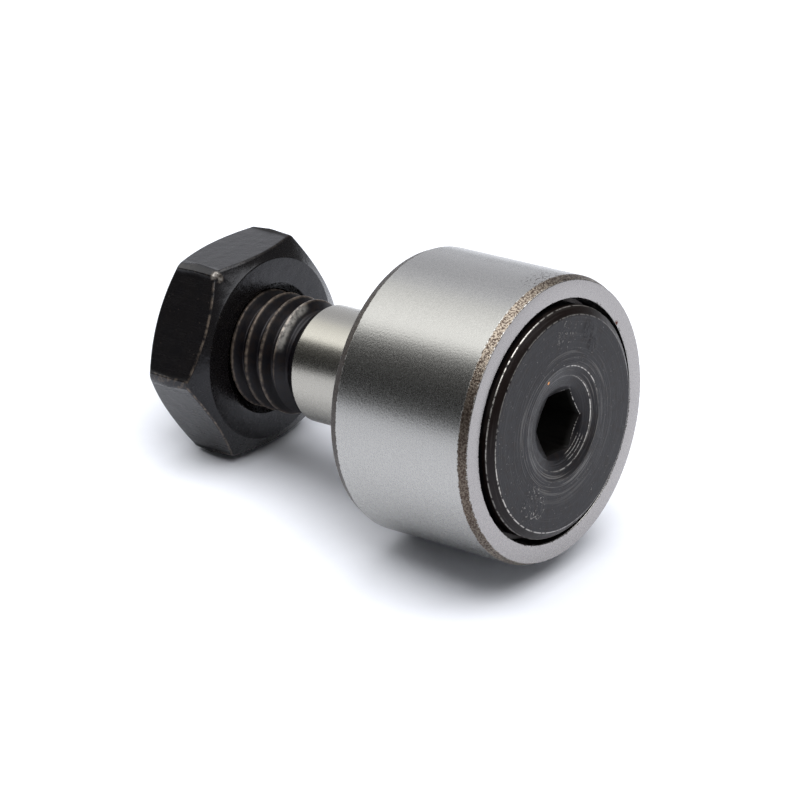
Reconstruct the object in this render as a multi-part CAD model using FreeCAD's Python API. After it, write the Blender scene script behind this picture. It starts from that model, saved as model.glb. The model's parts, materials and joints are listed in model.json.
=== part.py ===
import FreeCAD, Part
import math
import os

# Stud-type cam follower (track roller) with a caged needle bearing and its fixing nut.
# Millimetres. The stud axis is Y: the head faces -Y and the thread points to +Y.
# The origin is on that axis, at the outer face of the side plate, which is the shoulder
# that is clamped against the machine. +Z is up, with two flats of the nut level.

# Roller
ring_diameter = 19.0
ring_width = 11.0
ring_setback = 0.6            # roller's back face to the shoulder
ring_chamfer_radial = 0.25
ring_chamfer_axial = 0.6
recess_diameter = 16.1        # counterbore at each end of the roller
recess_depth = 1.6
recess_mouth_chamfer = 0.12

# Needle bearing
needle_count = 15
needle_diameter = 1.5
needle_length = 6.8
needle_end_radius = 0.15
inner_track_diameter = 10.0   # nominal tracks, before running clearance
outer_track_diameter = 13.0
track_clearance = 0.02        # radial, needle to each track
cage_gap = 0.25               # radial, cage to each nominal track
cage_end_gap = 0.1            # axial, cage to head and to side plate
pocket_side_gap = 0.04
pocket_end_gap = 0.05

# Stud and side plate
head_diameter = 15.3
head_face_diameter = 14.2
head_edge_height = 0.4        # axial height of the head's chamfer
head_proud = 0.6              # head face to the roller's front face
flange_end_gap = 0.1          # head and side plate to the recess floors
plate_seat_diameter = 9.0
plate_edge_chamfer = 0.2
shank_diameter = 8.0
shank_length = 7.4
shank_edge_chamfer = 0.2
stud_length = 20.0            # shoulder to the end of the thread
stud_end_chamfer = 0.8
centre_hole_diameter = 2.0
centre_hole_depth = 1.6

# Thread M8 x 1.25
thread_diameter = 8.0
thread_pitch = 1.25
thread_depth = 0.68
neck_diameter = 6.5
neck_length = 0.75
thread_turn = 86.7            # turn of the thread about the stud, right-handed about +Y
thread_half_angle = 30.0
groove_overshoot = 0.1        # radial, how far the groove's section stands past the crest

# Hex socket in the head
socket_flats = 4.0
socket_depth = 4.5
socket_turn = 23.2            # degrees from +Z towards -X to the nearest corner
socket_lead_depth = 0.55
socket_lead_diameter = 6.7
drill_point_angle = 118.0

# Hexagon nut
nut_flats = 13.6
nut_thickness = 5.0
nut_face_height = 12.37       # bearing face, measured from the shoulder
nut_turn = 30.0               # degrees from +Z to the first corner, so two flats are level
nut_bearing_diameter = 12.6
nut_chamfer_angle = 30.0
nut_bore_diameter = 8.1       # plain bore that clears the stud's crests
nut_countersink_diameter = 9.0

ring_back = -ring_setback
ring_front = ring_back - ring_width
head_face = ring_front - head_proud
head_back = ring_front + recess_depth - flange_end_gap
plate_front = ring_back - recess_depth + flange_end_gap
bearing_middle = (head_back + plate_front) / 2
pitch_radius = (inner_track_diameter + outer_track_diameter) / 4
overshoot = 1.0               # how far a cutting tool runs past the solid it cuts

axis_y = FreeCAD.Vector(0, 1, 0)
centre = FreeCAD.Vector(0, 0, 0)


def turned(outline):
    """Solid of revolution about Y from (radius, y) points, as on a lathe."""
    points = [FreeCAD.Vector(radius, y, 0) for radius, y in outline]
    face = Part.Face(Part.makePolygon(points + points[:1]))
    return face.revolve(centre, axis_y, 360)


def hexagon_bar(across_flats, start, end, turn=0.0):
    """Hexagonal bar along Y. Its first corner is turned from +Z towards -X."""
    corner_radius = across_flats / 2 / math.cos(math.radians(30))
    corners = []
    for index in range(6):
        angle = math.radians(turn + 60 * index)
        corners.append(
            FreeCAD.Vector(-corner_radius * math.sin(angle), start, corner_radius * math.cos(angle))
        )
    face = Part.Face(Part.makePolygon(corners + corners[:1]))
    return face.extrude(FreeCAD.Vector(0, end - start, 0))


def make_outer_ring():
    """Ground roller: slim end chamfers, a recess at each end and the outer needle track."""
    radius = ring_diameter / 2
    track = outer_track_diameter / 2 + track_clearance
    recess = recess_diameter / 2
    mouth = recess + recess_mouth_chamfer
    return turned([
        (radius - ring_chamfer_radial, ring_front),
        (radius, ring_front + ring_chamfer_axial),
        (radius, ring_back - ring_chamfer_axial),
        (radius - ring_chamfer_radial, ring_back),
        (mouth, ring_back),
        (recess, ring_back - recess_mouth_chamfer),
        (recess, ring_back - recess_depth),
        (track, ring_back - recess_depth),
        (track, ring_front + recess_depth),
        (recess, ring_front + recess_depth),
        (recess, ring_front + recess_mouth_chamfer),
        (mouth, ring_front),
    ])


def thread_groove():
    """One long V groove that cuts the whole thread, from the neck to past the stud's end."""
    crest = thread_diameter / 2
    root = crest - thread_depth
    outside = crest + groove_overshoot
    start = shank_length + neck_length / 2
    turns = math.ceil((stud_length - start) / thread_pitch) + 1
    root_half = thread_pitch / 8
    outside_half = root_half + (outside - root) * math.tan(math.radians(thread_half_angle))
    spine = Part.makeHelix(thread_pitch, turns * thread_pitch, root)
    section = Part.makePolygon([
        FreeCAD.Vector(root, 0, -root_half),
        FreeCAD.Vector(outside, 0, -outside_half),
        FreeCAD.Vector(outside, 0, outside_half),
        FreeCAD.Vector(root, 0, root_half),
        FreeCAD.Vector(root, 0, -root_half),
    ])
    groove = Part.Wire(spine.Edges).makePipeShell([section], True, True)
    # The helix is made about Z, so it is laid along +Y before it is turned.
    groove.rotate(centre, FreeCAD.Vector(1, 0, 0), -90)
    groove.translate(FreeCAD.Vector(0, start, 0))
    groove.rotate(centre, axis_y, thread_turn)
    return groove


def make_stud():
    """Turned stud: head, needle track, seat of the side plate, shank, neck and thread."""
    neck_start = shank_length
    neck_end = neck_start + neck_length
    neck = neck_diameter / 2
    shank = shank_diameter / 2
    crest = thread_diameter / 2
    body = turned([
        (0, head_face),
        (head_face_diameter / 2, head_face),
        (head_diameter / 2, head_face + head_edge_height),
        (head_diameter / 2, head_back),
        (inner_track_diameter / 2 - track_clearance, head_back),
        (inner_track_diameter / 2 - track_clearance, plate_front),
        (plate_seat_diameter / 2, plate_front),
        (plate_seat_diameter / 2, 0),
        (shank, 0),
        (shank, neck_start - shank_edge_chamfer),
        (shank - shank_edge_chamfer, neck_start),
        (neck, neck_start),
        (neck, neck_end),
        (crest, neck_end + crest - neck),
        (crest, stud_length - stud_end_chamfer),
        (crest - stud_end_chamfer, stud_length),
        (0, stud_length),
    ])
    body = body.cut(thread_groove())

    socket_end = head_face + socket_depth
    socket = hexagon_bar(socket_flats, head_face - overshoot, socket_end, socket_turn)
    drill_radius = socket_flats / 2
    drill_point = drill_radius / math.tan(math.radians(drill_point_angle / 2))
    drill = turned([
        (0, head_face - overshoot),
        (drill_radius, head_face - overshoot),
        (drill_radius, socket_end),
        (0, socket_end + drill_point),
    ])
    lead = turned([
        (0, head_face),
        (socket_lead_diameter / 2, head_face),
        (socket_flats / 2, head_face + socket_lead_depth),
        (0, head_face + socket_lead_depth),
    ])
    centre_radius = centre_hole_diameter / 2
    centre_hole = turned([
        (0, stud_length),
        (centre_radius, stud_length),
        (0, stud_length - centre_hole_depth),
    ])
    return body.cut(socket).cut(drill).cut(lead).cut(centre_hole)


def make_side_plate():
    """Ring washer pressed on the stud. It closes the roller's back recess."""
    outside = head_diameter / 2
    seat = plate_seat_diameter / 2
    return turned([
        (seat, plate_front),
        (outside, plate_front),
        (outside, -plate_edge_chamfer),
        (outside - plate_edge_chamfer, 0),
        (seat, 0),
    ])


def make_needle(index):
    """One needle roller with rounded ends, standing in its pocket of the cage."""
    radius = needle_diameter / 2
    half = needle_length / 2
    angle = 2 * math.pi * index / needle_count
    needle = Part.makeCylinder(radius, needle_length, FreeCAD.Vector(0, -half, 0), axis_y)
    rims = [edge for edge in needle.Edges if isinstance(edge.Curve, Part.Circle)]
    needle = needle.makeFillet(needle_end_radius, rims)
    place = FreeCAD.Vector(
        -pitch_radius * math.sin(angle), bearing_middle, pitch_radius * math.cos(angle)
    )
    needle.translate(place)
    return needle


def make_cage():
    """Thin sleeve with one pocket for each needle."""
    inside = inner_track_diameter / 2 + cage_gap
    outside = outer_track_diameter / 2 - cage_gap
    cage = turned([
        (inside, head_back + cage_end_gap),
        (outside, head_back + cage_end_gap),
        (outside, plate_front - cage_end_gap),
        (inside, plate_front - cage_end_gap),
    ])
    pocket_width = needle_diameter + 2 * pocket_side_gap
    pocket_length = needle_length + 2 * pocket_end_gap
    pocket_height = outside - inside + 2 * overshoot
    pocket = Part.makeBox(
        pocket_width,
        pocket_length,
        pocket_height,
        FreeCAD.Vector(-pocket_width / 2, bearing_middle - pocket_length / 2, inside - overshoot),
    )
    for index in range(needle_count):
        tool = pocket.copy()
        tool.rotate(centre, axis_y, -360 * index / needle_count)
        cage = cage.cut(tool)
    return cage


def make_nut():
    """Thin hexagon nut, with both faces chamfered at the corners and countersunk."""
    start = nut_face_height
    end = start + nut_thickness
    body = hexagon_bar(nut_flats, start, end, nut_turn)
    middle = (start + end) / 2
    bearing = nut_bearing_diameter / 2
    waist = bearing + (middle - start) / math.tan(math.radians(nut_chamfer_angle))
    corner_trim = turned([
        (0, start),
        (bearing, start),
        (waist, middle),
        (bearing, end),
        (0, end),
    ])
    bore = nut_bore_diameter / 2
    mouth = nut_countersink_diameter / 2
    hole = turned([
        (0, start),
        (mouth, start),
        (bore, start + mouth - bore),
        (bore, end - mouth + bore),
        (mouth, end),
        (0, end),
    ])
    return body.common(corner_trim).cut(hole)


os.makedirs("parts", exist_ok=True)
pieces = {
    "outer_ring": make_outer_ring(),
    "stud": make_stud(),
    "side_plate": make_side_plate(),
    "needle_cage": make_cage(),
    "hex_nut": make_nut(),
}
for number in range(needle_count):
    pieces[f"needle_{number + 1:02d}"] = make_needle(number)

for name, shape in pieces.items():
    print(name, shape.isValid(), len(shape.Solids), round(shape.Volume, 3))
    shape.exportStep(f"parts/{name}.step")
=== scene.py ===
import json
import math

import bmesh
import bpy
from mathutils import Matrix, Vector


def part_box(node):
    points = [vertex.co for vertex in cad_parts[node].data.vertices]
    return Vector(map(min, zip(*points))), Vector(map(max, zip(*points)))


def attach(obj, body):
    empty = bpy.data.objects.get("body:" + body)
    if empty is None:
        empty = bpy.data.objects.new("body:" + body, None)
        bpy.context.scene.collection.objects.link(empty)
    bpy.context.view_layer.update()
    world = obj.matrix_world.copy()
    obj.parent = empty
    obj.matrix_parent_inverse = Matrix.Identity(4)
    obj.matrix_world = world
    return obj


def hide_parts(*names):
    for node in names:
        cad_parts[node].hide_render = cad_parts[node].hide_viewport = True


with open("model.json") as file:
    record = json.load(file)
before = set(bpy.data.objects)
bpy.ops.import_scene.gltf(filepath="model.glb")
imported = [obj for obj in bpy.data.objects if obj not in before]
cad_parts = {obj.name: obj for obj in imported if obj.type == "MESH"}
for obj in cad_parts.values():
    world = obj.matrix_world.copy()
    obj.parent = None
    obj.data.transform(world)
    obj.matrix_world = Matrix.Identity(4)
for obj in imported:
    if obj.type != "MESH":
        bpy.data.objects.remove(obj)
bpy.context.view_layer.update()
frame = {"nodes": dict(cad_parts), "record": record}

# ---------------------------------------------------------------------------
# Stud: one bar of bearing steel, turned with its disc head, case hardened and
# blackened all over, then ground bright on the needle track and the shank. The
# M8 thread is rolled and the hexagon socket is broached into the head.
# ---------------------------------------------------------------------------
mm = 0.001
full_turn = 2 * math.pi
merge_distance = 0.002
mounts = {mount["name"]: mount for mount in frame["record"]["mounts"]}
stud_low, stud_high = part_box("stud")

shank_radius = mounts["shank"]["dims"]["r_mm"]
shank_edge = 0.2
shank_end = mounts["shank"]["dims"]["length_mm"] + shank_edge
head_face = stud_low.y / mm
stud_end = stud_high.y / mm
head_thickness = 2.1
head_back = head_face + head_thickness
head_radius = 7.65
head_face_radius = 7.1
head_rim_height = 0.4
needle_track = 4.98
track_end = -2.1
plate_seat = 4.5
neck_radius = 3.25
neck_length = 0.75
neck_end = shank_end + neck_length
stud_steps = 144

thread_pitch = 1.25
thread_turn = math.radians(183.3)
thread_start = shank_end + neck_length / 2
crest_radius = 4.0
root_radius = 3.32
end_chamfer = 0.8
centre_hole_radius = 1.0
centre_hole_depth = 1.6

socket_turn = math.radians(23.2)
socket_half_flats = 2.0
socket_depth = 4.5
dish_radius = 3.8
lead_radius = 3.15
lead_start = 0.2
lead_depth = 0.55
socket_plain_start = 1.1
drill_point = 1.2
oxide_slot, ground_slot, socket_shade_slot, rim_slot = range(4)


def polar(co):
    """Radius in millimetres and the angle from +Z towards -X of a point about the stud's axis."""
    return math.hypot(co.x, co.z) / mm, math.atan2(-co.x, co.z)


def put_polar(vert, radius, angle, y):
    """Places a vertex by its radius, angle and height along the stud, in millimetres."""
    vert.co = Vector((-radius * math.sin(angle), y, radius * math.cos(angle))) * mm


def profile(bm, outline, angle=0.0):
    """Draws a profile of (radius, y, corner rounding) points, all in millimetres."""
    verts = []
    for radius, y, rounding in outline:
        vert = bm.verts.new()
        put_polar(vert, radius, angle, y)
        verts.append(vert)
    for pair in zip(verts, verts[1:]):
        bm.edges.new(pair)
    for vert, (radius, y, rounding) in zip(verts, outline):
        if rounding:
            bmesh.ops.bevel(
                bm,
                geom=[vert],
                offset=rounding * mm,
                offset_type="OFFSET",
                segments=4,
                profile=0.5,
                affect="VERTICES",
                material=-1,
            )


def close_up(bm):
    """Merges what lies on one spot and turns every face outwards."""
    bmesh.ops.remove_doubles(bm, verts=bm.verts[:], dist=merge_distance * mm)
    bmesh.ops.recalc_face_normals(bm, faces=bm.faces[:])


def spin_round(bm, steps):
    """Spins everything drawn so far into a closed turned shape about the stud's axis."""
    bmesh.ops.spin(
        bm,
        geom=bm.verts[:] + bm.edges[:],
        cent=(0, 0, 0),
        axis=(0, 1, 0),
        angle=full_turn,
        steps=steps,
        use_merge=True,
    )
    close_up(bm)


def wind_thread(bm, outline, start, turns):
    """Winds one pitch of profile once round, right-handed about +Y, then stacks the turns."""
    profile(bm, outline, thread_turn)
    bmesh.ops.subdivide_edges(bm, edges=bm.edges[:], cuts=1)
    bmesh.ops.translate(bm, vec=(0, start * mm, 0), verts=bm.verts[:])
    bmesh.ops.spin(
        bm,
        geom=bm.verts[:] + bm.edges[:],
        cent=(0, 0, 0),
        axis=(0, 1, 0),
        dvec=(0, thread_pitch / stud_steps * mm, 0),
        angle=full_turn,
        steps=stud_steps,
    )
    first_turn = bm.verts[:] + bm.edges[:] + bm.faces[:]
    for number in range(1, turns):
        copied = bmesh.ops.duplicate(bm, geom=first_turn)["geom"]
        verts = [item for item in copied if isinstance(item, bmesh.types.BMVert)]
        bmesh.ops.translate(bm, vec=(0, number * thread_pitch * mm, 0), verts=verts)
    bmesh.ops.remove_doubles(bm, verts=bm.verts[:], dist=merge_distance * mm)


def trim_thread(bm, low, high):
    """Cuts a wound thread square to the stud at both of its ends."""
    for y, above in ((low, False), (high, True)):
        bmesh.ops.bisect_plane(
            bm,
            geom=bm.verts[:] + bm.edges[:] + bm.faces[:],
            plane_co=(0, y * mm, 0),
            plane_no=(0, 1, 0),
            clear_outer=above,
            clear_inner=not above,
        )


def rim_at(bm, y):
    """Open edges that lie at one height along the stud."""
    return [
        edge
        for edge in bm.edges
        if edge.is_boundary and all(abs(vert.co.y / mm - y) < 0.001 for vert in edge.verts)
    ]


def hexagon_radius(angle, half_flats, corner_angle):
    """Distance from the axis to a hexagon's side, whose corners stand at corner_angle."""
    side = math.radians(60)
    from_middle = (angle - corner_angle) % side - side / 2
    return half_flats / math.cos(from_middle)


def piece_from(name, bm, body, nodes, materials):
    """Turns a bmesh into a smooth piece that rides on its body and stands for its nodes."""
    mesh = bpy.data.meshes.new(name)
    bm.to_mesh(mesh)
    bm.free()
    for material in materials:
        mesh.materials.append(material)
    for face in mesh.polygons:
        face.use_smooth = True
    piece = bpy.data.objects.new(name, mesh)
    bpy.context.scene.collection.objects.link(piece)
    weighted = piece.modifiers.new("even_faces", "WEIGHTED_NORMAL")
    weighted.weight = 100
    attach(piece, body)
    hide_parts(*nodes)
    return piece


def roll_stud_thread():
    """The rolled thread, its ends held inside the neck's cone and the end chamfer."""
    bm = bmesh.new()
    flank = (crest_radius - root_radius) * math.tan(math.radians(30))
    root_half = thread_pitch / 8
    crest_end = thread_pitch - root_half - flank
    turns = math.ceil((stud_end - thread_start) / thread_pitch) + 2
    wind_thread(bm, [
        (root_radius, 0, 0),
        (root_radius, root_half, 0.06),
        (crest_radius, root_half + flank, 0.05),
        (crest_radius, crest_end, 0.05),
        (root_radius, thread_pitch - root_half, 0.06),
        (root_radius, thread_pitch, 0),
    ], thread_start - thread_pitch, turns)
    trim_thread(bm, neck_end, stud_end)
    for vert in bm.verts:
        radius, angle = polar(vert.co)
        y = vert.co.y / mm
        from_neck = neck_radius + y - neck_end
        from_end = crest_radius - end_chamfer + stud_end - y
        put_polar(vert, min(radius, from_neck, from_end), angle, y)
    return bm


def turn_stud_body():
    """The turned body, from the neck round the head to the bottom of the socket."""
    bm = bmesh.new()
    profile(bm, [
        (neck_radius, neck_end, 0),
        (neck_radius, shank_end, 0.12),
        (shank_radius - shank_edge, shank_end, 0.03),
        (shank_radius, shank_end - shank_edge, 0.05),
        (shank_radius, 0, 0),
        (plate_seat, 0, 0),
        (plate_seat, track_end, 0),
        (needle_track, track_end, 0.05),
        (needle_track, head_back, 0),
        (head_radius, head_back, 0.1),
        (head_radius, head_face + head_rim_height, 0.07),
        (head_face_radius, head_face, 0.06),
        (dish_radius, head_face, 0.05),
        (lead_radius, head_face + lead_start, 0.04),
        ((lead_radius + socket_half_flats) / 2, head_face + (lead_start + lead_depth) / 2, 0),
        (socket_half_flats, head_face + lead_depth, 0),
        (socket_half_flats, head_face + socket_plain_start, 0),
        (socket_half_flats, head_face + socket_depth, 0),
        (socket_half_flats * 0.94, head_face + socket_depth, 0),
        (0, head_face + socket_depth + drill_point, 0),
    ], socket_turn)
    spin_round(bm, stud_steps)
    lead_slope = (lead_depth - lead_start) / (lead_radius - socket_half_flats)
    for vert in bm.verts:
        radius, angle = polar(vert.co)
        y = vert.co.y / mm
        if abs(radius - socket_half_flats) > 0.01:
            continue
        radius = hexagon_radius(angle, socket_half_flats, socket_turn)
        if y < head_face + lead_depth + 0.01:
            y = head_face + lead_start + (lead_radius - radius) * lead_slope
        put_polar(vert, radius, angle, y)
    return bm


def make_stud():
    """Joins the turned body to the thread and closes the end with its centre hole."""
    bm = roll_stud_thread()
    body = turn_stud_body()
    shape = bpy.data.meshes.new("turned_body")
    body.to_mesh(shape)
    body.free()
    bm.from_mesh(shape)
    bpy.data.meshes.remove(shape)
    bmesh.ops.bridge_loops(bm, edges=rim_at(bm, neck_end))
    rim = rim_at(bm, stud_end)
    for radius, depth in (
        (crest_radius - end_chamfer - 0.06, 0),
        (centre_hole_radius + 0.05, 0),
        (centre_hole_radius, 0.05),
        (0.001, centre_hole_depth),
    ):
        pulled = bmesh.ops.extrude_edge_only(bm, edges=rim)["geom"]
        rim = [item for item in pulled if isinstance(item, bmesh.types.BMEdge)]
        for vert in {vert for edge in rim for vert in edge.verts}:
            put_polar(vert, radius, polar(vert.co)[1], stud_end - depth)
    close_up(bm)
    for face in bm.faces:
        radius = polar(face.calc_center_median())[0]
        y = face.calc_center_median().y / mm
        on_shank = 0 < y < shank_end and radius > neck_radius + 0.4
        on_track = head_back < y < track_end and radius > plate_seat + 0.1
        in_socket = radius < 2.4 and head_face + 0.5 < y < 0
        on_rim = radius > head_face_radius + 0.03 and head_face < y < head_face + head_rim_height
        if on_shank or on_track:
            face.material_index = ground_slot
        # The socket's faces get the near-black finish, which is painted shade for the socket.
        elif in_socket:
            face.material_index = socket_shade_slot
        elif on_rim:
            face.material_index = rim_slot
        else:
            face.material_index = oxide_slot
    return bm


def node(tree, kind, inputs=None, **settings):
    """Adds a shader node, sets it up, and gives its inputs their values or links."""
    made = tree.nodes.new("ShaderNode" + kind)
    for name, value in settings.items():
        setattr(made, name, value)
    for name, value in (inputs or {}).items():
        if isinstance(value, bpy.types.NodeSocket):
            tree.links.new(value, made.inputs[name])
        else:
            made.inputs[name].default_value = value
    return made


def new_finish(name, metallic):
    """A new material with its tree and its shader."""
    material = bpy.data.materials.new(name)
    material.use_nodes = True
    tree = material.node_tree
    shader = tree.nodes["Principled BSDF"]
    shader.inputs["Metallic"].default_value = metallic
    return material, tree, shader


def math_node(tree, operation, first, second=0.0, clamp=False):
    """One step of arithmetic."""
    made = node(tree, "Math", {0: first, 1: second}, operation=operation, use_clamp=clamp)
    return made.outputs["Value"]


def places(tree):
    """The point in millimetres, its radius about the stud and its height along it."""
    where = node(tree, "TexCoord").outputs["Object"]
    point = node(tree, "VectorMath", {0: where, "Scale": 1 / mm}, operation="SCALE").outputs[0]
    parts = node(tree, "SeparateXYZ", {0: point})
    flat = node(tree, "CombineXYZ", {"X": parts.outputs["X"], "Z": parts.outputs["Z"]})
    radius = node(tree, "VectorMath", {0: flat.outputs[0]}, operation="LENGTH").outputs["Value"]
    return point, radius, parts.outputs["Y"]


def grain(tree, point, scale, detail=2.0, stretch=(1, 1, 1)):
    """Noise from 0 to 1 around 0.5. Scale is in features per millimetre."""
    spread = node(tree, "Mapping", {"Vector": point, "Scale": stretch}).outputs[0]
    made = node(tree, "TexNoise", {"Vector": spread, "Scale": scale, "Detail": detail})
    return made.outputs["Fac"]


def rings(tree, point, radius, per_mm, detail=2.0, wander=0.15):
    """Turning marks: noise that changes quickly with radius and slowly round the axis."""
    parts = node(tree, "SeparateXYZ", {0: point})
    across = node(tree, "CombineXYZ", {
        "X": math_node(tree, "MULTIPLY", parts.outputs["X"], wander),
        "Y": math_node(tree, "MULTIPLY", radius, per_mm),
        "Z": math_node(tree, "MULTIPLY", parts.outputs["Z"], wander),
    }).outputs[0]
    return node(tree, "TexNoise", {"Vector": across, "Scale": 1.0, "Detail": detail}).outputs["Fac"]


def between(tree, value, low, high, out_low=0.0, out_high=1.0):
    """Carries a value from one range smoothly into another."""
    made = node(
        tree,
        "MapRange",
        {"Value": value, "From Min": low, "From Max": high, "To Min": out_low, "To Max": out_high},
        interpolation_type="SMOOTHSTEP",
    )
    return made.outputs["Result"]


def line_at(tree, value, where, half_width):
    """1 on a line where the value passes a given figure, fading out over half a width."""
    off = math_node(tree, "ABSOLUTE", math_node(tree, "SUBTRACT", value, where))
    return between(tree, off, 0.0, half_width, 1.0, 0.0)


def blend_colour(tree, factor, first, second):
    """Mixes two colours by a factor."""
    made = node(tree, "Mix", {0: factor, 6: first, 7: second}, data_type="RGBA")
    return made.outputs[2]


def bump(tree, height, distance, strength=1.0, after=None):
    """Raises a surface by a height map. Distance is in millimetres."""
    inputs = {"Height": height, "Distance": distance * mm, "Strength": strength}
    if after is not None:
        inputs["Normal"] = after
    return node(tree, "Bump", inputs).outputs["Normal"]


def sector(tree, point, radius, middle, half_width):
    """1 in a sector round the axis, fading at its sides. Degrees from +Z towards -X."""
    angle = math.radians(middle)
    direction = (-math.sin(angle), 0, math.cos(angle))
    along = node(tree, "VectorMath", {0: point, 1: direction}, operation="DOT_PRODUCT").outputs["Value"]
    share = math_node(tree, "DIVIDE", along, radius)
    wide = math.cos(math.radians(half_width))
    narrow = math.cos(math.radians(half_width * 0.5))
    return between(tree, share, wide, narrow)


def spot(tree, point, middle, distance, size):
    """1 in a small round spot on an end face, placed by its angle and radius."""
    angle = math.radians(middle)
    place = (-distance * math.sin(angle), 0, distance * math.cos(angle))
    flat = node(tree, "VectorMath", {0: point, 1: (1, 0, 1)}, operation="MULTIPLY").outputs[0]
    away = node(tree, "VectorMath", {0: flat, 1: place}, operation="DISTANCE").outputs["Value"]
    return between(tree, away, size, size * 0.5)


def across_hexagon(tree, point, first_flat):
    """Distance from the axis measured square to the nearest side of a hexagon."""
    farthest = 0.0
    for turn in (0, 60, 120):
        angle = first_flat + math.radians(turn)
        direction = (-math.sin(angle), 0, math.cos(angle))
        along = node(tree, "VectorMath", {0: point, 1: direction}, operation="DOT_PRODUCT")
        off = math_node(tree, "ABSOLUTE", along.outputs["Value"])
        farthest = math_node(tree, "MAXIMUM", farthest, off)
    return farthest


def product(tree, *factors):
    """Several masks multiplied together."""
    result = factors[0]
    for factor in factors[1:]:
        result = math_node(tree, "MULTIPLY", result, factor)
    return result


def largest(tree, *values):
    """The largest of several masks."""
    result = values[0]
    for value in values[1:]:
        result = math_node(tree, "MAXIMUM", result, value)
    return result


oxide_black = (0.0035, 0.0032, 0.0042, 1)
oxide_brown = (0.0060, 0.0035, 0.0028, 1)
worn_steel = (0.50, 0.48, 0.45, 1)
worn_brown = (0.30, 0.24, 0.19, 1)
orange_fleck = (0.90, 0.36, 0.06, 1)


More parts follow.
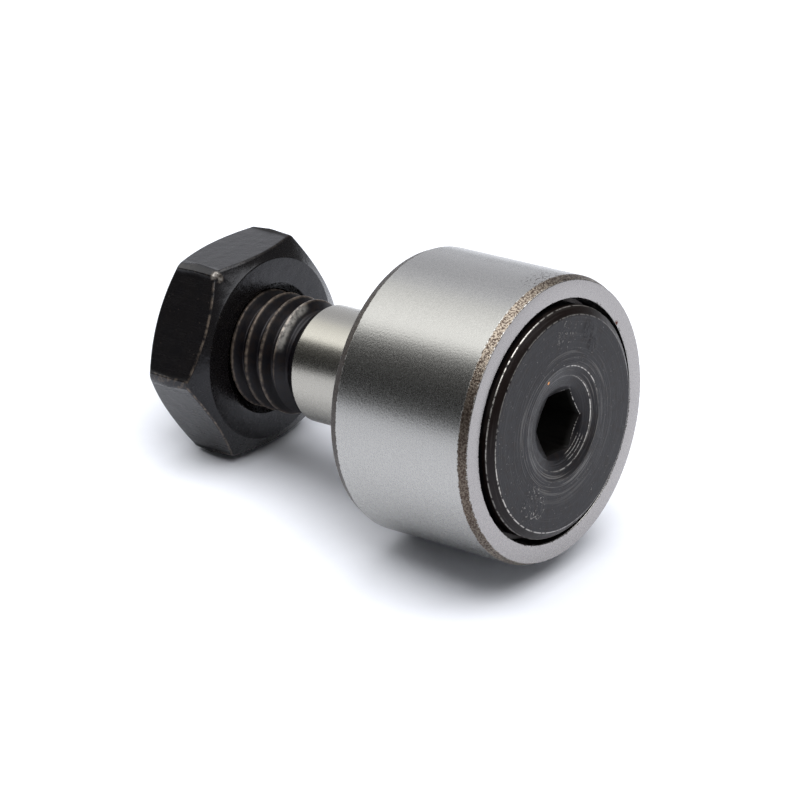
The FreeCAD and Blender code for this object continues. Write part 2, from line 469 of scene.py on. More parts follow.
def make_black_oxide(name, gloss):
    """Blackened, oiled steel of the stud: turning marks on the head, rubbed bright at edges, and a
    painted highlight on top of the thread's run-out.

    Gloss is the refractive index of the oily skin.
    """
    material, tree, shader = new_finish(name, 0.0)
    shader.inputs["IOR"].default_value = gloss
    shader.inputs["Specular Tint"].default_value = (0.97, 0.95, 1.0, 1)
    point, radius, height = places(tree)
    mottle = grain(tree, point, 2.2, 4.0)
    speck = grain(tree, point, 7.0, 2.0)
    broken = grain(tree, point, 3.2, 3.0)
    turning = rings(tree, point, radius, 10.0, 3.0, 0.3)

    on_head = between(tree, height, head_face + 0.75, head_face + 0.65)
    on_face = between(tree, height, head_face + 0.03, head_face + 0.01)
    on_rim = product(tree, on_head, between(tree, radius, 7.13, 7.2))
    colour = blend_colour(tree, between(tree, mottle, 0.45, 0.7), oxide_black, oxide_brown)
    colour = blend_colour(tree, on_rim, colour, oxide_brown)

    # Rubbed edges, each a thin broken line.
    patchy = between(tree, broken, 0.36, 0.56)
    face_edge = line_at(tree, radius, head_face_radius + 0.02, 0.06)
    face_edge = product(tree, face_edge, on_head, patchy)
    face_edge = product(tree, face_edge, largest(tree, 0.3, sector(tree, point, radius, 135, 70)))
    outer_edge = line_at(tree, height, head_face + head_rim_height, 0.055)
    outer_edge = product(tree, outer_edge, between(tree, radius, 7.5, 7.6), patchy)
    outer_edge = product(tree, outer_edge, largest(tree, 0.45, sector(tree, point, radius, 48, 50)))
    dish_edge = product(tree, line_at(tree, radius, dish_radius, 0.05), on_head, patchy)
    dish_edge = product(tree, dish_edge, largest(tree, 0.12, sector(tree, point, radius, 318, 40)))
    lead_edge = product(tree, line_at(tree, radius, lead_radius, 0.06), on_head, patchy)
    lead_edge = product(tree, lead_edge, largest(tree, 0.15, sector(tree, point, radius, 245, 100)))
    socket_side = across_hexagon(tree, point, socket_turn + math.radians(30))
    socket_edge = product(tree, line_at(tree, socket_side, socket_half_flats + 0.02, 0.05), on_head)
    socket_edge = product(tree, socket_edge, between(tree, speck, 0.46, 0.6))
    socket_edge = product(tree, socket_edge, sector(tree, point, radius, 285, 75))
    edges = largest(tree, face_edge, outer_edge, dish_edge, lead_edge, socket_edge)

    # Chatter marks of the broach's lead, low on its right.
    chatter = line_at(tree, math_node(tree, "PINGPONG", radius, 0.11), 0.0, 0.045)
    chatter = product(tree, chatter, between(tree, radius, 2.2, 2.4), between(tree, radius, 3.05, 2.95))
    chatter = product(
        tree,
        chatter,
        on_head,
        sector(tree, point, radius, 212, 24),
        between(tree, speck, 0.38, 0.5),
    )

    # Turning marks show most round the socket.
    near_socket = between(tree, radius, 5.6, 3.9, 0.12, 1.0)
    ring_peaks = product(tree, between(tree, turning, 0.52, 0.66), near_socket, on_head)
    ring_peaks = product(tree, ring_peaks, between(tree, radius, 2.9, 3.2))
    specks = product(tree, between(tree, speck, 0.69, 0.76), on_face)
    lower_patch = spot(tree, point, 140, 5.6, 1.6)
    upper_patch = spot(tree, point, 352, 5.9, 1.3)
    cluster = largest(tree, lower_patch, product(tree, upper_patch, 0.6))
    cluster_specks = product(
        tree,
        between(tree, speck, 0.57, 0.68),
        cluster,
        on_face,
        between(tree, mottle, 0.42, 0.55),
    )
    marks_and_painted_highlight = largest(tree, product(tree, ring_peaks, 0.16), product(tree, specks, 0.22))
    marks_and_painted_highlight = largest(tree, marks_and_painted_highlight, product(tree, cluster_specks, 0.5), product(tree, chatter, 0.7))

    crest = product(tree, between(tree, radius, 3.84, 4.0), between(tree, height, 8.0, 8.3))
    crest = product(tree, crest, between(tree, broken, 0.3, 0.7, 0.05, 0.40))
    # Painted highlight: the crest where the thread runs out turns to bare steel only on its top, where
    # the light catches it.
    runout_painted_highlight = product(tree, between(tree, height, 8.3, 8.7), between(tree, height, 9.5, 9.1))
    runout_painted_highlight = product(tree, runout_painted_highlight, sector(tree, point, radius, 30, 34), between(tree, radius, 3.45, 3.75))
    marks_and_painted_highlight = largest(tree, marks_and_painted_highlight, product(tree, runout_painted_highlight, between(tree, broken, 0.35, 0.6, 0.15, 0.5)))
    colour = blend_colour(tree, largest(tree, edges, marks_and_painted_highlight), colour, worn_steel)
    colour = blend_colour(tree, crest, colour, worn_brown)
    fleck = product(tree, spot(tree, point, 20, 3.5, 0.14), on_head)
    colour = blend_colour(tree, fleck, colour, orange_fleck)
    tree.links.new(colour, shader.inputs["Base Color"])
    tree.links.new(largest(tree, edges, marks_and_painted_highlight, crest), shader.inputs["Metallic"])
    smudge = largest(tree, spot(tree, point, 329, 6.2, 0.9), spot(tree, point, 321, 5.5, 0.7))
    rough = between(tree, mottle, 0.3, 0.7, 0.30, 0.40)
    smudged = product(tree, smudge, on_face, between(tree, speck, 0.45, 0.6), 0.2)
    rough = math_node(tree, "ADD", rough, smudged)
    tree.links.new(rough, shader.inputs["Roughness"])
    turned_marks = product(tree, turning, near_socket, on_head)
    normal = bump(tree, turned_marks, 0.03)
    normal = bump(tree, speck, 0.008, 1.0, normal)
    dents = product(tree, grain(tree, point, 4.5, 3.0), largest(tree, cluster, smudge))
    normal = bump(tree, dents, 0.028, 1.0, normal)
    tree.links.new(normal, shader.inputs["Normal"])
    return material


def make_socket_painted_shade():
    """The broached flats and the drill point, made near black with a weak reflection: painted shade for
    the deep socket.
    """
    material, tree, shader = new_finish("socket_painted_shade", 0.0)
    shader.inputs["IOR"].default_value = 1.2
    point = places(tree)[0]
    broached = grain(tree, point, 1.0, 3.0, (9, 0.4, 9))
    # Painted shade: the near-black colour stands for the shade deep inside the socket.
    colour = blend_colour(tree, broached, (0.0008, 0.0008, 0.0008, 1), (0.003, 0.0025, 0.002, 1))
    tree.links.new(colour, shader.inputs["Base Color"])
    tree.links.new(between(tree, broached, 0.3, 0.7, 0.45, 0.6), shader.inputs["Roughness"])
    tree.links.new(bump(tree, broached, 0.01), shader.inputs["Normal"])
    return material


def make_ground_steel(name, colour, roughness):
    """Steel ground round the axis: fine lines round it and a faint sparkling grain."""
    material, tree, shader = new_finish(name, 1.0)
    point = places(tree)[0]
    lines = grain(tree, point, 1.0, 3.0, (0.25, 22, 0.25))
    sparkle = grain(tree, point, 9.5, 1.0)
    darker = tuple(channel * 0.88 for channel in colour[:3]) + (1,)
    tree.links.new(blend_colour(tree, lines, darker, colour), shader.inputs["Base Color"])
    rough = between(tree, sparkle, 0.3, 0.7, roughness * 0.9, roughness * 1.1)
    tree.links.new(rough, shader.inputs["Roughness"])
    normal = bump(tree, lines, 0.0015)
    normal = bump(tree, sparkle, 0.003, 1.0, normal)
    tree.links.new(normal, shader.inputs["Normal"])
    return material


black_oxide = make_black_oxide("stud_black_oxide", 1.32)
rim_oxide = make_black_oxide("rim_black_oxide", 1.26)
shank_steel = make_ground_steel("ground_shank", (0.353, 0.340, 0.308, 1), 0.26)
piece_from(
    "turned_stud",
    make_stud(),
    "stud",
    ["stud"],
    [black_oxide, shank_steel, make_socket_painted_shade(), rim_oxide],
)


# ---------------------------------------------------------------------------
# Cage and needles: a thin sleeve of steel with fifteen milled pockets keeps the
# lapped needle rollers apart. Each needle lies loose in its pocket, and sleeve and
# needles run on the stud's track, inside the roller.
# ---------------------------------------------------------------------------
cage_low, cage_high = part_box("needle_cage")
needle_low, needle_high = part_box("needle_01")
needle_count = sum(1 for name in frame["nodes"] if name.startswith("needle_") and name[7:].isdigit())
needle_radius = (needle_high.x - needle_low.x) / 2 / mm
needle_pitch_radius = 5.75
cage_outside = cage_high.z / mm
cage_wall = 1.0
sector_steps = 12
pocket_steps = 8
pocket_overlength = 0.05
needle_steps = 40


def make_cage():
    """A sleeve whose pocket faces are taken out before the wall gets its thickness."""
    bm = bmesh.new()
    pocket_low = needle_low.y / mm - pocket_overlength
    pocket_high = needle_high.y / mm + pocket_overlength
    first_edge = full_turn / needle_count / sector_steps * pocket_steps / 2
    profile(bm, [
        (cage_outside, cage_low.y / mm, 0),
        (cage_outside, pocket_low, 0),
        (cage_outside, pocket_high, 0),
        (cage_outside, cage_high.y / mm, 0),
    ], first_edge)
    spin_round(bm, needle_count * sector_steps)
    pocket_spacing = full_turn / needle_count
    pocket_faces = []
    for face in bm.faces:
        centre = face.calc_center_median()
        angle = (polar(centre)[1] + pocket_spacing / 2) % pocket_spacing - pocket_spacing / 2
        if pocket_low < centre.y / mm < pocket_high and abs(angle) < first_edge:
            pocket_faces.append(face)
    bmesh.ops.delete(bm, geom=pocket_faces, context="FACES")
    bmesh.ops.solidify(bm, geom=bm.faces[:], thickness=cage_wall * mm)
    bmesh.ops.recalc_face_normals(bm, faces=bm.faces[:])
    corners = [edge for edge in bm.edges if edge.calc_face_angle(0) > math.radians(60)]
    bmesh.ops.bevel(
        bm,
        geom=corners,
        offset=0.04 * mm,
        offset_type="OFFSET",
        segments=2,
        profile=0.5,
        affect="EDGES",
        material=-1,
    )
    return bm


def make_needle(index):
    """One needle with rounded ends, turned on the stud's axis and moved to its pocket."""
    bm = bmesh.new()
    profile(bm, [
        (0, needle_low.y / mm, 0),
        (needle_radius, needle_low.y / mm, 0.15),
        (needle_radius, needle_high.y / mm, 0.15),
        (0, needle_high.y / mm, 0),
    ])
    spin_round(bm, needle_steps)
    angle = full_turn * index / needle_count
    place = Vector((-math.sin(angle), 0, math.cos(angle))) * needle_pitch_radius * mm
    bmesh.ops.translate(bm, vec=place, verts=bm.verts[:])
    return bm


cage_finish = make_ground_steel("satin_cage", (0.42, 0.41, 0.40, 1), 0.4)
needle_finish = make_ground_steel("lapped_needle", (0.62, 0.62, 0.63, 1), 0.12)
piece_from("cage_sleeve", make_cage(), "cage", ["needle_cage"], [cage_finish])
for index in range(needle_count):
    needle = f"needle_{index + 1:02d}"
    piece_from(
        f"needle_roller_{index + 1:02d}",
        make_needle(index),
        needle,
        [needle],
        [needle_finish],
    )


# ---------------------------------------------------------------------------
# Roller: a thick ring of bearing steel. Its chamfers and recesses are turned and
# keep the rough scale of hardening, and the outside, both end faces and the needle
# track inside are ground afterwards.
# ---------------------------------------------------------------------------
ring_low, ring_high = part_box("outer_ring")
ring_radius = mounts["running_surface"]["dims"]["r_mm"]
ring_front = ring_low.y / mm
ring_back = ring_high.y / mm
ring_middle = (ring_front + ring_back) / 2
ring_half_width = (ring_back - ring_front) / 2
ring_chamfer_radial = 0.25
ring_chamfer_axial = 0.6
recess_radius = 8.05
recess_depth = 1.6
recess_mouth = 0.05
ring_track = 6.52
ring_steps = 240


def make_roller():
    """Half of the ring's outline drawn for each end, then spun."""
    bm = bmesh.new()
    half = [
        (ring_track, 0, 0),
        (ring_track, ring_half_width - recess_depth, 0.06),
        (recess_radius, ring_half_width - recess_depth, 0.08),
        (recess_radius, ring_half_width - recess_mouth, 0.015),
        (recess_radius + recess_mouth, ring_half_width, 0.015),
        (ring_radius - ring_chamfer_radial, ring_half_width, 0.03),
        (ring_radius, ring_half_width - ring_chamfer_axial, 0.04),
        (ring_radius, 0, 0),
    ]
    for side in (1, -1):
        profile(bm, [(radius, ring_middle + side * off, rounding) for radius, off, rounding in half])
    spin_round(bm, ring_steps)
    for face in bm.faces:
        radius = polar(face.calc_center_median())[0]
        off = abs(face.calc_center_median().y / mm - ring_middle)
        in_recess = radius < recess_radius + 0.02 and off > ring_half_width - recess_depth - 0.01
        face.material_index = 1 if in_recess or radius < recess_radius - 0.1 else 0
    return bm


def make_roller_steel():
    """Ground faces with a sparkling grain, and rough brown scale left on the chamfers, with painted shade
    on their left.
    """
    material, tree, shader = new_finish("roller_ground_steel", 1.0)
    point, radius, height = places(tree)
    off = math_node(tree, "ABSOLUTE", math_node(tree, "SUBTRACT", height, ring_middle))
    ragged = grain(tree, point, 3.2, 3.0)
    ragged_fine = grain(tree, point, 11.0, 2.0)
    edge_shift = math_node(tree, "MULTIPLY", math_node(tree, "SUBTRACT", ragged, 0.5), 0.2)
    fine_shift = math_node(tree, "MULTIPLY", math_node(tree, "SUBTRACT", ragged_fine, 0.5), 0.2)
    shift = math_node(tree, "ADD", edge_shift, fine_shift)
    chamfer_start = ring_half_width - ring_chamfer_axial
    ragged_off = math_node(tree, "ADD", off, shift)
    past_outside = between(tree, ragged_off, chamfer_start - 0.02, chamfer_start + 0.04)
    chamfer_inside = ring_radius - ring_chamfer_radial
    ragged_radius = math_node(tree, "ADD", radius, math_node(tree, "MULTIPLY", shift, 0.6))
    past_face = between(tree, ragged_radius, chamfer_inside - 0.01, chamfer_inside + 0.03)
    scale = math_node(tree, "MULTIPLY", past_outside, past_face)
    on_face = between(tree, off, ring_half_width - 0.03, ring_half_width - 0.01)
    on_front = between(tree, height, ring_front + 0.03, ring_front + 0.01)
    face_colour = (0.320, 0.305, 0.300, 1)
    scale_dark = (0.050, 0.036, 0.029, 1)
    scale_light = (0.26, 0.225, 0.185, 1)

    sparkle = grain(tree, point, 9.0, 1.0)
    pebbles = grain(tree, point, 7.0, 0.5)
    lines = grain(tree, point, 1.0, 3.0, (0.2, 16, 0.2))
    crumbs = grain(tree, point, 8.5, 1.5)
    pits = grain(tree, point, 6.0, 2.0)
    ground = blend_colour(tree, lines, (0.324, 0.320, 0.310, 1), (0.369, 0.364, 0.353, 1))
    ground = blend_colour(tree, on_face, ground, face_colour)
    ground = blend_colour(tree, between(tree, sparkle, 0.3, 0.7, 0.14, 0.0), ground, (0.1, 0.1, 0.1, 1))
    nicks = product(tree, between(tree, pits, 0.55, 0.62), sector(tree, point, radius, 354, 13))
    near_front = between(tree, height, ring_front + 2.4, ring_front + 1.2)
    on_outside = between(tree, radius, ring_radius - 0.1, ring_radius - 0.05)
    nicks = product(tree, nicks, near_front, on_outside)
    chips = product(tree, between(tree, pits, 0.58, 0.66), on_face, between(tree, radius, 8.22, 8.1))
    dirt = product(tree, spot(tree, point, 302, 8.12, 0.26), between(tree, pits, 0.42, 0.5), on_front)
    ground = blend_colour(tree, largest(tree, nicks, chips), ground, (0.04, 0.03, 0.025, 1))
    ground = blend_colour(tree, dirt, ground, (0.07, 0.02, 0.012, 1))
    scale_and_shade_colour = blend_colour(tree, between(tree, crumbs, 0.36, 0.64), scale_dark, scale_light)
    # Painted shade: the chamfer's scale is darkened on the left, the side turned to the dark part of the
    # room.
    left_painted_shade = product(tree, sector(tree, point, radius, 88, 50), 0.6)
    scale_and_shade_colour = blend_colour(tree, left_painted_shade, scale_and_shade_colour, scale_dark)
    at_back = between(tree, height, ring_middle, ring_middle + 1.0)
    scale_and_shade_colour = blend_colour(tree, product(tree, at_back, 0.75), scale_and_shade_colour, (0.03, 0.026, 0.024, 1))
    tree.links.new(blend_colour(tree, scale, ground, scale_and_shade_colour), shader.inputs["Base Color"])
    rough = between(tree, sparkle, 0.3, 0.7, 0.25, 0.29)
    rough = math_node(tree, "ADD", rough, product(tree, scale, 0.16))
    tree.links.new(rough, shader.inputs["Roughness"])
    on_ground = math_node(tree, "SUBTRACT", 1.0, scale)
    normal = bump(tree, product(tree, sparkle, on_ground), 0.003)
    normal = bump(tree, product(tree, pebbles, on_ground), 0.0032, 1.0, normal)
    normal = bump(tree, product(tree, crumbs, scale), 0.028, 1.0, normal)
    tree.links.new(normal, shader.inputs["Normal"])
    return material


def make_recess_finish():
    """Turned and hardened steel inside the recesses, left dark and dull."""
    material, tree, shader = new_finish("roller_recess", 1.0)
    point, radius = places(tree)[:2]
    mottle = grain(tree, point, 3.0, 3.0)
    colour = blend_colour(tree, mottle, (0.05, 0.045, 0.045, 1), (0.13, 0.12, 0.115, 1))
    tree.links.new(colour, shader.inputs["Base Color"])
    tree.links.new(between(tree, mottle, 0.3, 0.7, 0.35, 0.5), shader.inputs["Roughness"])
    tree.links.new(bump(tree, rings(tree, point, radius, 10.0), 0.01), shader.inputs["Normal"])
    return material


piece_from(
    "ground_roller",
    make_roller(),
    "roller",
    ["outer_ring"],
    [make_roller_steel(), make_recess_finish()],
)


# ---------------------------------------------------------------------------
# Side plate: a blackened steel ring pressed on the stud's seat. It closes the
# roller's back recess and is the shoulder that bears against the machine.
# ---------------------------------------------------------------------------
plate_low, plate_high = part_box("side_plate")
plate_radius = 7.65
plate_edge = 0.2


def make_side_plate():
    """The plate's square outline with a chamfer at its outer edge."""
    bm = bmesh.new()
    front = plate_low.y / mm
    back = plate_high.y / mm
    profile(bm, [
        (plate_seat, front, 0),
        (plate_radius, front, 0.08),
        (plate_radius, back - plate_edge, 0.04),
        (plate_radius - plate_edge, back, 0.04),
        (plate_seat + 0.1, back, 0.03),
        (plate_seat, back - 0.1, 0),
        (plate_seat, front, 0),
    ])
    spin_round(bm, stud_steps)
    return bm


def make_plate_finish():
    """Black oxide over turning marks, rubbed grey in patches."""
    material, tree, shader = new_finish("plate_black_oxide", 0.0)
    point, radius, height = places(tree)
    mottle = grain(tree, point, 1.6, 4.0)
    turning = rings(tree, point, radius, 8.0, 3.0)
    outer_edge = line_at(tree, height, plate_high.y / mm - plate_edge, 0.06)
    outer_edge = product(tree, outer_edge, between(tree, radius, plate_radius - 0.1, plate_radius - 0.04))
    face_edge = line_at(tree, radius, plate_radius - plate_edge, 0.05)
    face_edge = product(tree, face_edge, between(tree, height, -0.1, -0.04))
    edge = largest(tree, outer_edge, face_edge)
    broken = between(tree, grain(tree, point, 4.0, 3.0), 0.45, 0.65)
    wear = math_node(tree, "MULTIPLY", edge, broken)
    colour = blend_colour(tree, mottle, oxide_black, (0.035, 0.032, 0.034, 1))
    tree.links.new(blend_colour(tree, wear, colour, worn_steel), shader.inputs["Base Color"])
    tree.links.new(wear, shader.inputs["Metallic"])
    tree.links.new(between(tree, turning, 0.3, 0.7, 0.3, 0.45), shader.inputs["Roughness"])
    tree.links.new(bump(tree, turning, 0.012), shader.inputs["Normal"])
    return material


piece_from(
    "shoulder_plate", make_side_plate(), "stud", ["side_plate"], [make_plate_finish()]
)


# ---------------------------------------------------------------------------
# Hexagon nut: cold forged from bar, tapped M8, chamfered at the corners of both
# faces and blackened. It is screwed on the stud by hand and its corners are rubbed.
# ---------------------------------------------------------------------------
nut_low, nut_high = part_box("hex_nut")
nut_front = nut_low.y / mm
nut_back = nut_high.y / mm
nut_half_flats = nut_high.z / mm
nut_corner = math.radians(30)
nut_bearing_radius = 6.3
nut_chamfer_slope = math.tan(math.radians(30))
nut_thread_outside = 4.06
nut_thread_inside = 3.43
nut_countersink = 4.5
nut_countersink_depth = 0.4
nut_corner_rounding = 0.36
nut_edge_rounding = 0.16
nut_loop_inset = 1.0
nut_chamfer_zone = 1.5


def tap_nut_thread():
    """The nut's inner thread, which stands in the stud's grooves with a hair of play."""
    bm = bmesh.new()
    flank = (nut_thread_outside - nut_thread_inside) * math.tan(math.radians(30))
    crest_half = thread_pitch / 8 - 0.03
    root_start = crest_half + flank
    start = thread_start + thread_pitch * math.floor((nut_front - thread_start) / thread_pitch - 1)
    turns = math.ceil((nut_back - nut_front) / thread_pitch) + 3
    wind_thread(bm, [
        (nut_thread_inside, 0, 0),
        (nut_thread_inside, crest_half, 0.03),
        (nut_thread_outside, root_start, 0.03),
        (nut_thread_outside, thread_pitch - root_start, 0.03),
        (nut_thread_inside, thread_pitch - crest_half, 0.03),
        (nut_thread_inside, thread_pitch, 0),
    ], start, turns)
    trim_thread(bm, nut_front + nut_countersink_depth, nut_back - nut_countersink_depth)
    return bm


def stitch_rims(bm, y, parting_radius):
    """Joins two open rims at one height, one inside the other, with a ring of triangles."""
    rim = {vert for edge in rim_at(bm, y) for vert in edge.verts}
    rim = sorted(rim, key=lambda vert: polar(vert.co)[1])
    inner = [vert for vert in rim if polar(vert.co)[0] < parting_radius][-1]
    outer = [vert for vert in rim if polar(vert.co)[0] > parting_radius][-1]
    for vert in rim:
        bm.faces.new((inner, outer, vert))
        if polar(vert.co)[0] < parting_radius:
            inner = vert
        else:
            outer = vert


def make_nut():
    """Outer loops are drawn round and pressed to the hexagon, then joined to the thread."""
    bm = bmesh.new()
    countersink_bottom = nut_countersink - nut_countersink_depth
    profile(bm, [
        (countersink_bottom, nut_front + nut_countersink_depth, 0),
        (nut_countersink, nut_front, 0.05),
        (nut_bearing_radius, nut_front, 0.1),
        (nut_half_flats, nut_front + nut_loop_inset, 0),
        (nut_half_flats, (nut_front + nut_back) / 2, 0),
        (nut_half_flats, nut_back - nut_loop_inset, 0),
        (nut_bearing_radius, nut_back, 0.1),
        (nut_countersink, nut_back, 0.05),
        (countersink_bottom, nut_back - nut_countersink_depth, 0),
    ], nut_corner)
    spin_round(bm, stud_steps)
    outer = [vert for vert in bm.verts if polar(vert.co)[0] > nut_half_flats - 0.01]
    for vert in outer:
        radius, angle = polar(vert.co)
        y = vert.co.y / mm
        radius = hexagon_radius(angle, nut_half_flats, nut_corner)
        drop = (radius - nut_bearing_radius) * nut_chamfer_slope
        if y < nut_front + nut_chamfer_zone:
            y = nut_front + drop
        elif y > nut_back - nut_chamfer_zone:
            y = nut_back - drop
        put_polar(vert, radius, angle, y)
    corners = []
    for edge in bm.edges:
        if len(edge.link_faces) != 2 or not all(vert in outer for vert in edge.verts):
            continue
        first, second = edge.verts
        upright = abs(first.co.y - second.co.y) > 0.5 * mm
        at_corner = abs(polar(first.co)[0] - nut_half_flats / math.cos(math.radians(30))) < 0.01
        if upright and at_corner:
            corners.append(edge)
    bmesh.ops.bevel(
        bm,
        geom=corners,
        offset=nut_corner_rounding * mm,
        offset_type="OFFSET",
        segments=5,
        profile=0.5,
        affect="EDGES",
        material=-1,
    )
    rims = [
        edge
        for edge in bm.edges
        if len(edge.link_faces) == 2
        and edge.calc_face_angle(0) > math.radians(12)
        and abs(edge.verts[0].co.y - edge.verts[1].co.y) < 0.3 * mm
        and min(polar(vert.co)[0] for vert in edge.verts) > nut_bearing_radius + 0.3
    ]
    bmesh.ops.bevel(
        bm,
        geom=rims,
        offset=nut_edge_rounding * mm,
        offset_type="OFFSET",
        segments=3,
        profile=0.5,
        affect="EDGES",
        material=-1,
    )
    shape = bpy.data.meshes.new("nut_outside")
    bm.to_mesh(shape)
    bm.free()
    bm = tap_nut_thread()
    bm.from_mesh(shape)
    bpy.data.meshes.remove(shape)
    parting_radius = (nut_thread_outside + countersink_bottom) / 2
    stitch_rims(bm, nut_front + nut_countersink_depth, parting_radius)
    stitch_rims(bm, nut_back - nut_countersink_depth, parting_radius)
    close_up(bm)
    return bm


def make_nut_finish():
    """Black oxide over forged steel: streaks along the flats, rubbed edges, and a painted glint on one
    corner.
    """
    material, tree, shader = new_finish("nut_black_oxide", 0.0)
    shader.inputs["IOR"].default_value = 1.375
    shader.inputs["Specular Tint"].default_value = (0.93, 0.94, 1.0, 1)
    point, radius, height = places(tree)
    mottle = grain(tree, point, 1.3, 4.0)
    streaks = grain(tree, point, 1.0, 3.0, (6, 0.35, 6))
    scuffs = grain(tree, point, 2.6, 4.0)
    fine = grain(tree, point, 6.0, 2.0)
    colour = blend_colour(tree, mottle, (0.0025, 0.0024, 0.0032, 1), (0.0065, 0.0055, 0.0052, 1))

    side = across_hexagon(tree, point, 0.0)
    above_bearing = math_node(tree, "SUBTRACT", radius, nut_bearing_radius)
    chamfer_line = math_node(tree, "MULTIPLY_ADD", above_bearing, nut_chamfer_slope)
    chamfer_line.node.inputs[2].default_value = nut_front
    off_chamfer = math_node(tree, "SUBTRACT", height, chamfer_line)
    near_edge = product(tree, line_at(tree, off_chamfer, 0.03, 0.13), between(tree, side, 6.68, 6.74))
    corner_edge = between(tree, radius, 7.62, 7.70)
    edge_level = largest(tree, 0.12, sector(tree, point, radius, 95, 75))
    near_wear = product(tree, near_edge, between(tree, scuffs, 0.3, 0.75), edge_level)
    corner_wear = product(tree, corner_edge, between(tree, scuffs, 0.5, 0.7), 0.2, edge_level)
    # Painted glint: a spot of bare steel on one corner of the near face stands for light glinting there;
    # it also goes into the wear below.
    painted_glint_corner = product(tree, spot(tree, point, 31, 7.5, 0.45), between(tree, off_chamfer, 0.4, 0.05))
    painted_glint_corner = product(tree, painted_glint_corner, between(tree, scuffs, 0.35, 0.65))
    scratches = product(tree, between(tree, fine, 0.70, 0.76), 0.10)
    wear = largest(
        tree,
        product(tree, near_wear, 0.5),
        corner_wear,
        product(tree, painted_glint_corner, 0.6),
        scratches,
    )
    colour = blend_colour(tree, wear, colour, blend_colour(tree, painted_glint_corner, worn_brown, worn_steel))
    tree.links.new(colour, shader.inputs["Base Color"])
    tree.links.new(wear, shader.inputs["Metallic"])
    tree.links.new(between(tree, streaks, 0.3, 0.7, 0.24, 0.28), shader.inputs["Roughness"])
    normal = bump(tree, fine, 0.003)
    normal = bump(tree, mottle, 0.03, 1.0, normal)
    tree.links.new(normal, shader.inputs["Normal"])
    return material


piece_from("tapped_nut", make_nut(), "nut", ["hex_nut"], [make_nut_finish()])


# ---------------------------------------------------------------------------
# Floor, light and camera: the follower lies on its roller and an edge of the nut,
# on a pale board. A soft box hangs over it, the room is dark on the thread's left
# and pale on its right.
# ---------------------------------------------------------------------------
roller_foot = Vector((0, ring_back - ring_chamfer_axial, -ring_radius)) * mm
nut_foot_inset = 0.37
nut_foot = Vector((0, nut_back - nut_foot_inset, -nut_half_flats)) * mm
floor_slope = math.atan2(nut_foot.z - roller_foot.z, nut_foot.y - roller_foot.y)
floor_half_width = 1.5
floor_gap = 0.01
front_level = 0.13


def make_floor():
    """A board big enough to fill every view, tilted as the follower lies."""
    bm = bmesh.new()
    bmesh.ops.create_grid(bm, x_segments=8, y_segments=8, size=floor_half_width)
    tilt = Matrix.Rotation(floor_slope, 4, "X")
    lift = Matrix.Translation(roller_foot - Vector((0, 0, floor_gap * mm)))
    bmesh.ops.transform(bm, matrix=lift @ tilt, verts=bm.verts[:])
    mesh = bpy.data.meshes.new("pale_floor")
    bm.to_mesh(mesh)
    bm.free()
    floor = bpy.data.objects.new("pale_floor", mesh)
    bpy.context.scene.collection.objects.link(floor)
    material, tree, shader = new_finish("pale_board", 0.0)
    where = node(tree, "TexCoord").outputs["Object"]
    fibre = node(tree, "TexNoise", {"Vector": where, "Scale": 900.0}).outputs["Fac"]
    away = node(tree, "VectorMath", {0: where}, operation="LENGTH").outputs["Value"]
    board = blend_colour(tree, fibre, (0.855, 0.875, 0.935, 1), (0.88, 0.90, 0.96, 1))
    # Painted shade: the board darkens from 0.07 m to 0.30 m away, standing for the soft box's light
    # falling off.
    board = blend_colour(tree, between(tree, away, 0.07, 0.30), board, (0.60, 0.62, 0.66, 1))
    tree.links.new(board, shader.inputs["Base Color"])
    shader.inputs["Roughness"].default_value = 0.9
    shader.inputs["Specular IOR Level"].default_value = 0.1
    mesh.materials.append(material)


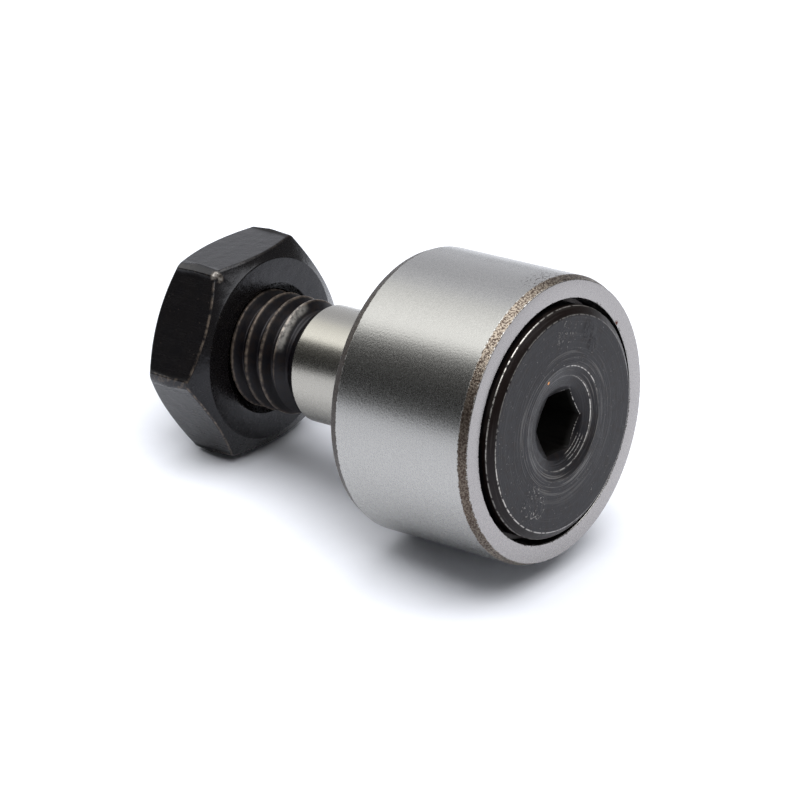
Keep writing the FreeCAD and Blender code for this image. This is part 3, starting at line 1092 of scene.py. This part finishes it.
def light_room():
    """A pale room whose light changes with the angle about the stud's axis."""
    world = bpy.data.worlds.new("studio")
    world.use_nodes = True
    tree = world.node_tree
    direction = node(tree, "TexCoord").outputs["Generated"]
    parts = node(tree, "SeparateXYZ", {0: direction})
    leftward = math_node(tree, "MULTIPLY", parts.outputs["X"], -1.0)
    angle = math_node(tree, "ARCTAN2", leftward, parts.outputs["Z"])
    share = between(tree, angle, -math.pi, math.pi)
    share.node.interpolation_type = "LINEAR"
    ramp = node(tree, "ValToRGB", {0: share})
    stops = ramp.color_ramp.elements
    brightness = [
        (-100, 1.14), (-80, 1.03), (-60, 0.90), (-40, 0.90), (-28, 1.15), (-15, 1.58),
        (5, 2.15), (23, 2.6), (29, 0.26), (40, 0.08), (50, 0.06), (70, 0.02), (115, 0.3),
    ]
    peak = 2.7
    cool_light = (0.97, 0.985, 1.05)
    warm_light = (1.0, 1.005, 0.985)
    while len(stops) < len(brightness):
        stops.new(0.5)
    for stop, (degrees, level) in zip(stops, brightness):
        stop.position = (degrees + 180) / 360
        tint = cool_light if degrees < -20 else warm_light
        stop.color = tuple(level / peak * channel for channel in tint) + (1,)
    towards_head = between(tree, parts.outputs["Y"], 0.42, 0.12)
    front = (front_level / peak, front_level / peak, front_level / peak, 1)
    light = blend_colour(tree, towards_head, ramp.outputs["Color"], front)
    background = tree.nodes["Background"]
    tree.links.new(light, background.inputs["Color"])
    background.inputs["Strength"].default_value = peak
    bpy.context.scene.world = world


def hang_soft_box(name, place, aim, size, power):
    """A square soft box at a place, in metres, that points at another."""
    light = bpy.data.lights.new(name, "AREA")
    light.shape = "SQUARE"
    light.size = size
    light.energy = power
    box = bpy.data.objects.new(name, light)
    box.location = place
    box.rotation_euler = (Vector(aim) - Vector(place)).to_track_quat("-Z", "Y").to_euler()
    bpy.context.scene.collection.objects.link(box)


def place_camera():
    """The camera looks down on the head from the front left, a little out of level."""
    azimuth = math.radians(-49.44)
    elevation = math.radians(24.04)
    roll = math.radians(4.43)
    aim = Vector((-0.598, 0.815, -1.011)) * mm
    distance = 238.11 * mm
    back = Vector((
        math.sin(azimuth) * math.cos(elevation),
        -math.cos(azimuth) * math.cos(elevation),
        math.sin(elevation),
    ))
    level = Vector((0, 0, 1)).cross(back).normalized()
    up = back.cross(level)
    up = Matrix.Rotation(-roll, 3, back) @ up
    right = up.cross(back)
    camera_data = bpy.data.cameras.new("camera")
    camera_data.lens = 162.9
    camera_data.sensor_width = 36
    camera = bpy.data.objects.new("camera", camera_data)
    turn = Matrix((right, up, back)).transposed()
    camera.matrix_world = Matrix.Translation(aim + back * distance) @ turn.to_4x4()
    bpy.context.scene.collection.objects.link(camera)
    bpy.context.scene.camera = camera


make_floor()
light_room()
hang_soft_box(
    "key_soft_box", place=(0.0, -0.09, 0.30), aim=(0, -0.02, 0), size=0.42, power=2.06
)
place_camera()
bpy.context.scene.view_settings.view_transform = "Standard"
